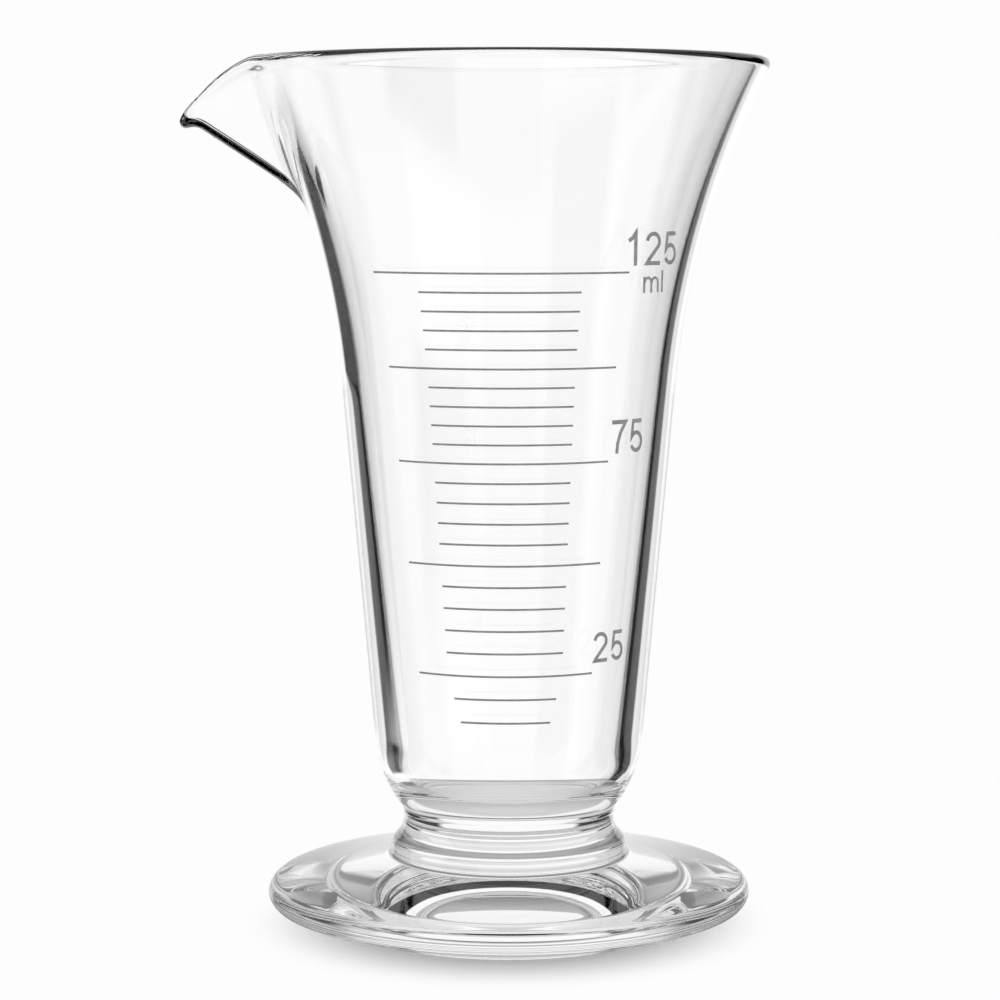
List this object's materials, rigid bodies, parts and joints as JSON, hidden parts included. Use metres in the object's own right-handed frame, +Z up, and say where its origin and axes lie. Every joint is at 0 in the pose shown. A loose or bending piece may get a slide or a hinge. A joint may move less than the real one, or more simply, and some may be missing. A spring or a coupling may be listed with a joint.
{
  "type": "conical graduated glass",
  "caption": "Clear measuring glass with a flared bowl, a pulled pouring spout, a thick bottom, a short neck, a disc foot and a printed scale.",
  "frame": {"origin": "centre of the foot's flat underside, on the table", "axes": "+Z up through the bowl; the pouring spout points to -X; the scale faces -Y"},
  "size_m": [0.0931, 0.0822, 0.1384],
  "materials": {
    "clear_glass": "clear, fire-polished",
    "grey_enamel": "printed and fired enamel, matt"
  },
  "bodies": {
    "root": {"measuring_glass": "clear_glass", "graduation_marks": "grey_enamel"}
  },
  "joints": []
}
